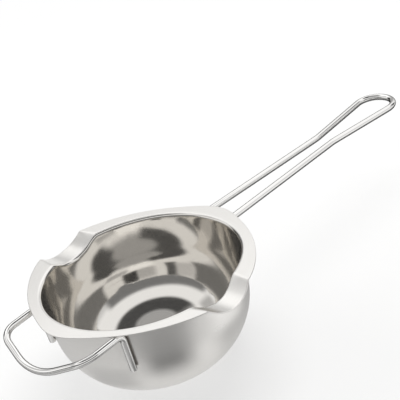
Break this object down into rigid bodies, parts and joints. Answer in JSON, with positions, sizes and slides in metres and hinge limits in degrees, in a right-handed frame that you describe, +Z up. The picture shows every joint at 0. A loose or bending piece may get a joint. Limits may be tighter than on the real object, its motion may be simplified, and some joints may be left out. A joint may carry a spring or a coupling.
{
  "type": "double boiler insert",
  "caption": "Stainless steel water-bath melting bowl with a wide flange, two pouring spouts, a long looped wire handle and a short wire helper handle.",
  "frame": {"origin": "centre of the flat base, on its underside", "axes": "+Z up, +Y towards the long handle, both spouts along +X and -X"},
  "size_m": [0.1536, 0.3354, 0.0645],
  "materials": {
    "satin_steel": "satin outside and on the flange, polished inside",
    "polished_wire": "polished stainless steel wire",
    "weld": "bare cleaned weld"
  },
  "bodies": {
    "root": {"bowl": "satin_steel", "long_handle": "polished_wire", "helper_handle": "polished_wire", "long_handle_weld_left": "weld", "long_handle_weld_right": "weld", "helper_handle_weld_left": "weld", "helper_handle_weld_right": "weld"}
  },
  "joints": []
}
